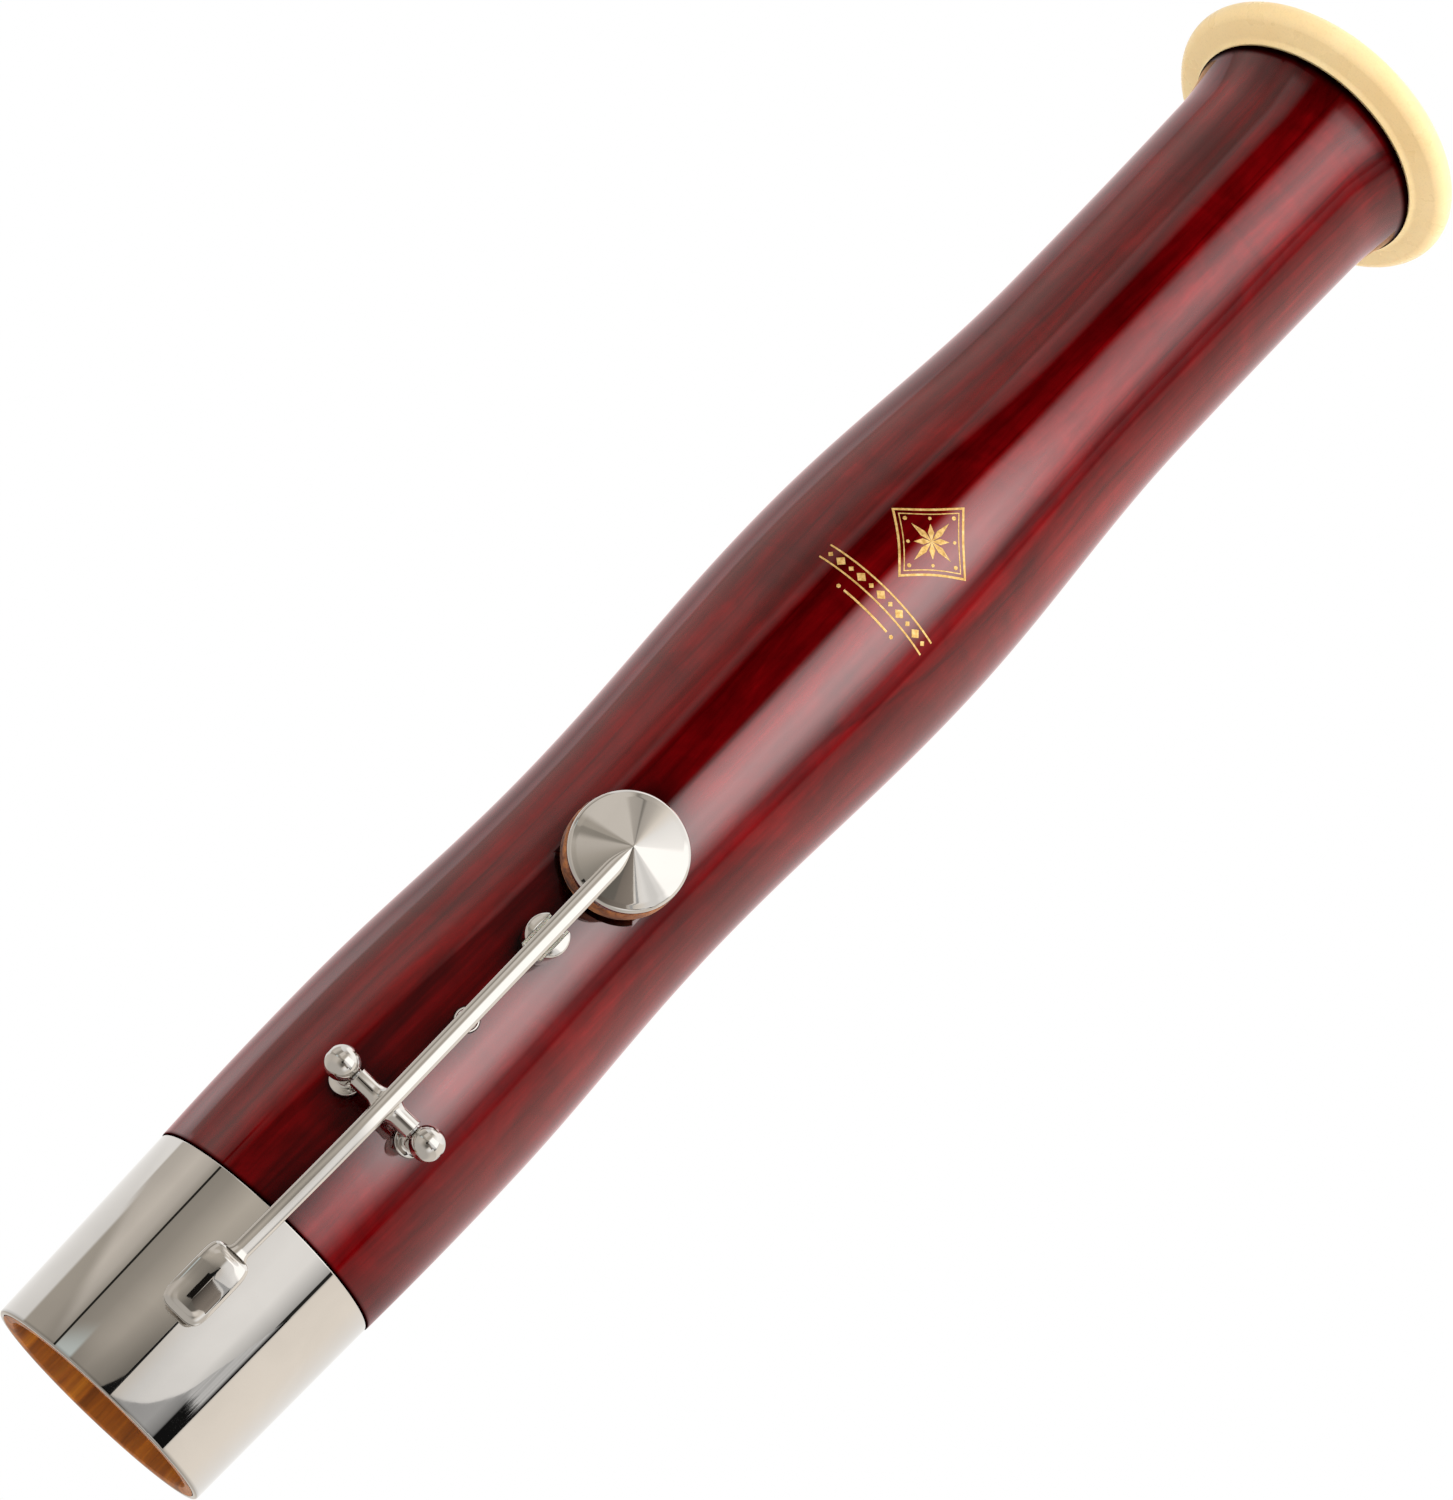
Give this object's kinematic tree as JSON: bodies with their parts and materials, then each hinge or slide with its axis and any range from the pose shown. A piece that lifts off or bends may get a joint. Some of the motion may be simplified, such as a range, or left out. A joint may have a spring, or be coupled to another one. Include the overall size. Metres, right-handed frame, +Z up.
{
  "type": "bassoon bell joint",
  "caption": "Turned wooden bell joint of a bassoon with a resin bell ring, a metal socket ferrule and the open-standing low B flat key on ball posts.",
  "frame": {"origin": "centre of the tenon socket's end face, on the bell's axis", "axes": "+Z up the bell's axis from the socket to the mouth, the key on -Y, its hinge along X"},
  "size_m": [0.0626, 0.0652, 0.3354],
  "materials": {
    "lacquered_maple": "dark red stain under high gloss lacquer",
    "cream_resin": "satin cream",
    "nickel_silver": "mirror polished plate",
    "steel": "turned",
    "blued_steel": "blued spring temper",
    "white_nylon": "plain",
    "tan_leather": "smooth tan kid",
    "white_felt": "woven felt",
    "grey_card": "plain",
    "amber_shellac": "set resin",
    "cork": "natural cork"
  },
  "bodies": {
    "bell": {"bell_body": "lacquered_maple", "bell_ring": "cream_resin", "socket_ferrule": "nickel_silver", "hinge_post_left": "nickel_silver", "hinge_post_right": "nickel_silver", "hinge_rod": "steel", "key_guide": "nickel_silver", "guide_liner": "white_nylon", "spring_plate": "nickel_silver"},
    "key": {"hinge_tube": "nickel_silver", "key_arm": "nickel_silver", "pad_cup": "nickel_silver", "touch_plate": "nickel_silver", "touch_cork": "cork", "pad_skin": "tan_leather", "pad_felt": "white_felt", "pad_card": "grey_card", "pad_shellac": "amber_shellac", "flat_spring": "blued_steel", "spring_screw": "steel"}
  },
  "joints": [
    {"name": "bell_key_hinge", "type": "hinge", "parent": "bell", "child": "key", "pos_m": [-0.00035, -0.03, 0.0614], "axis": [-1, 0, 0], "range_deg": [0, 2.45], "stiffness_Nm_per_rad": 0.05, "springref_deg": -17.19, "deforming": ["flat_spring"]}
  ]
}
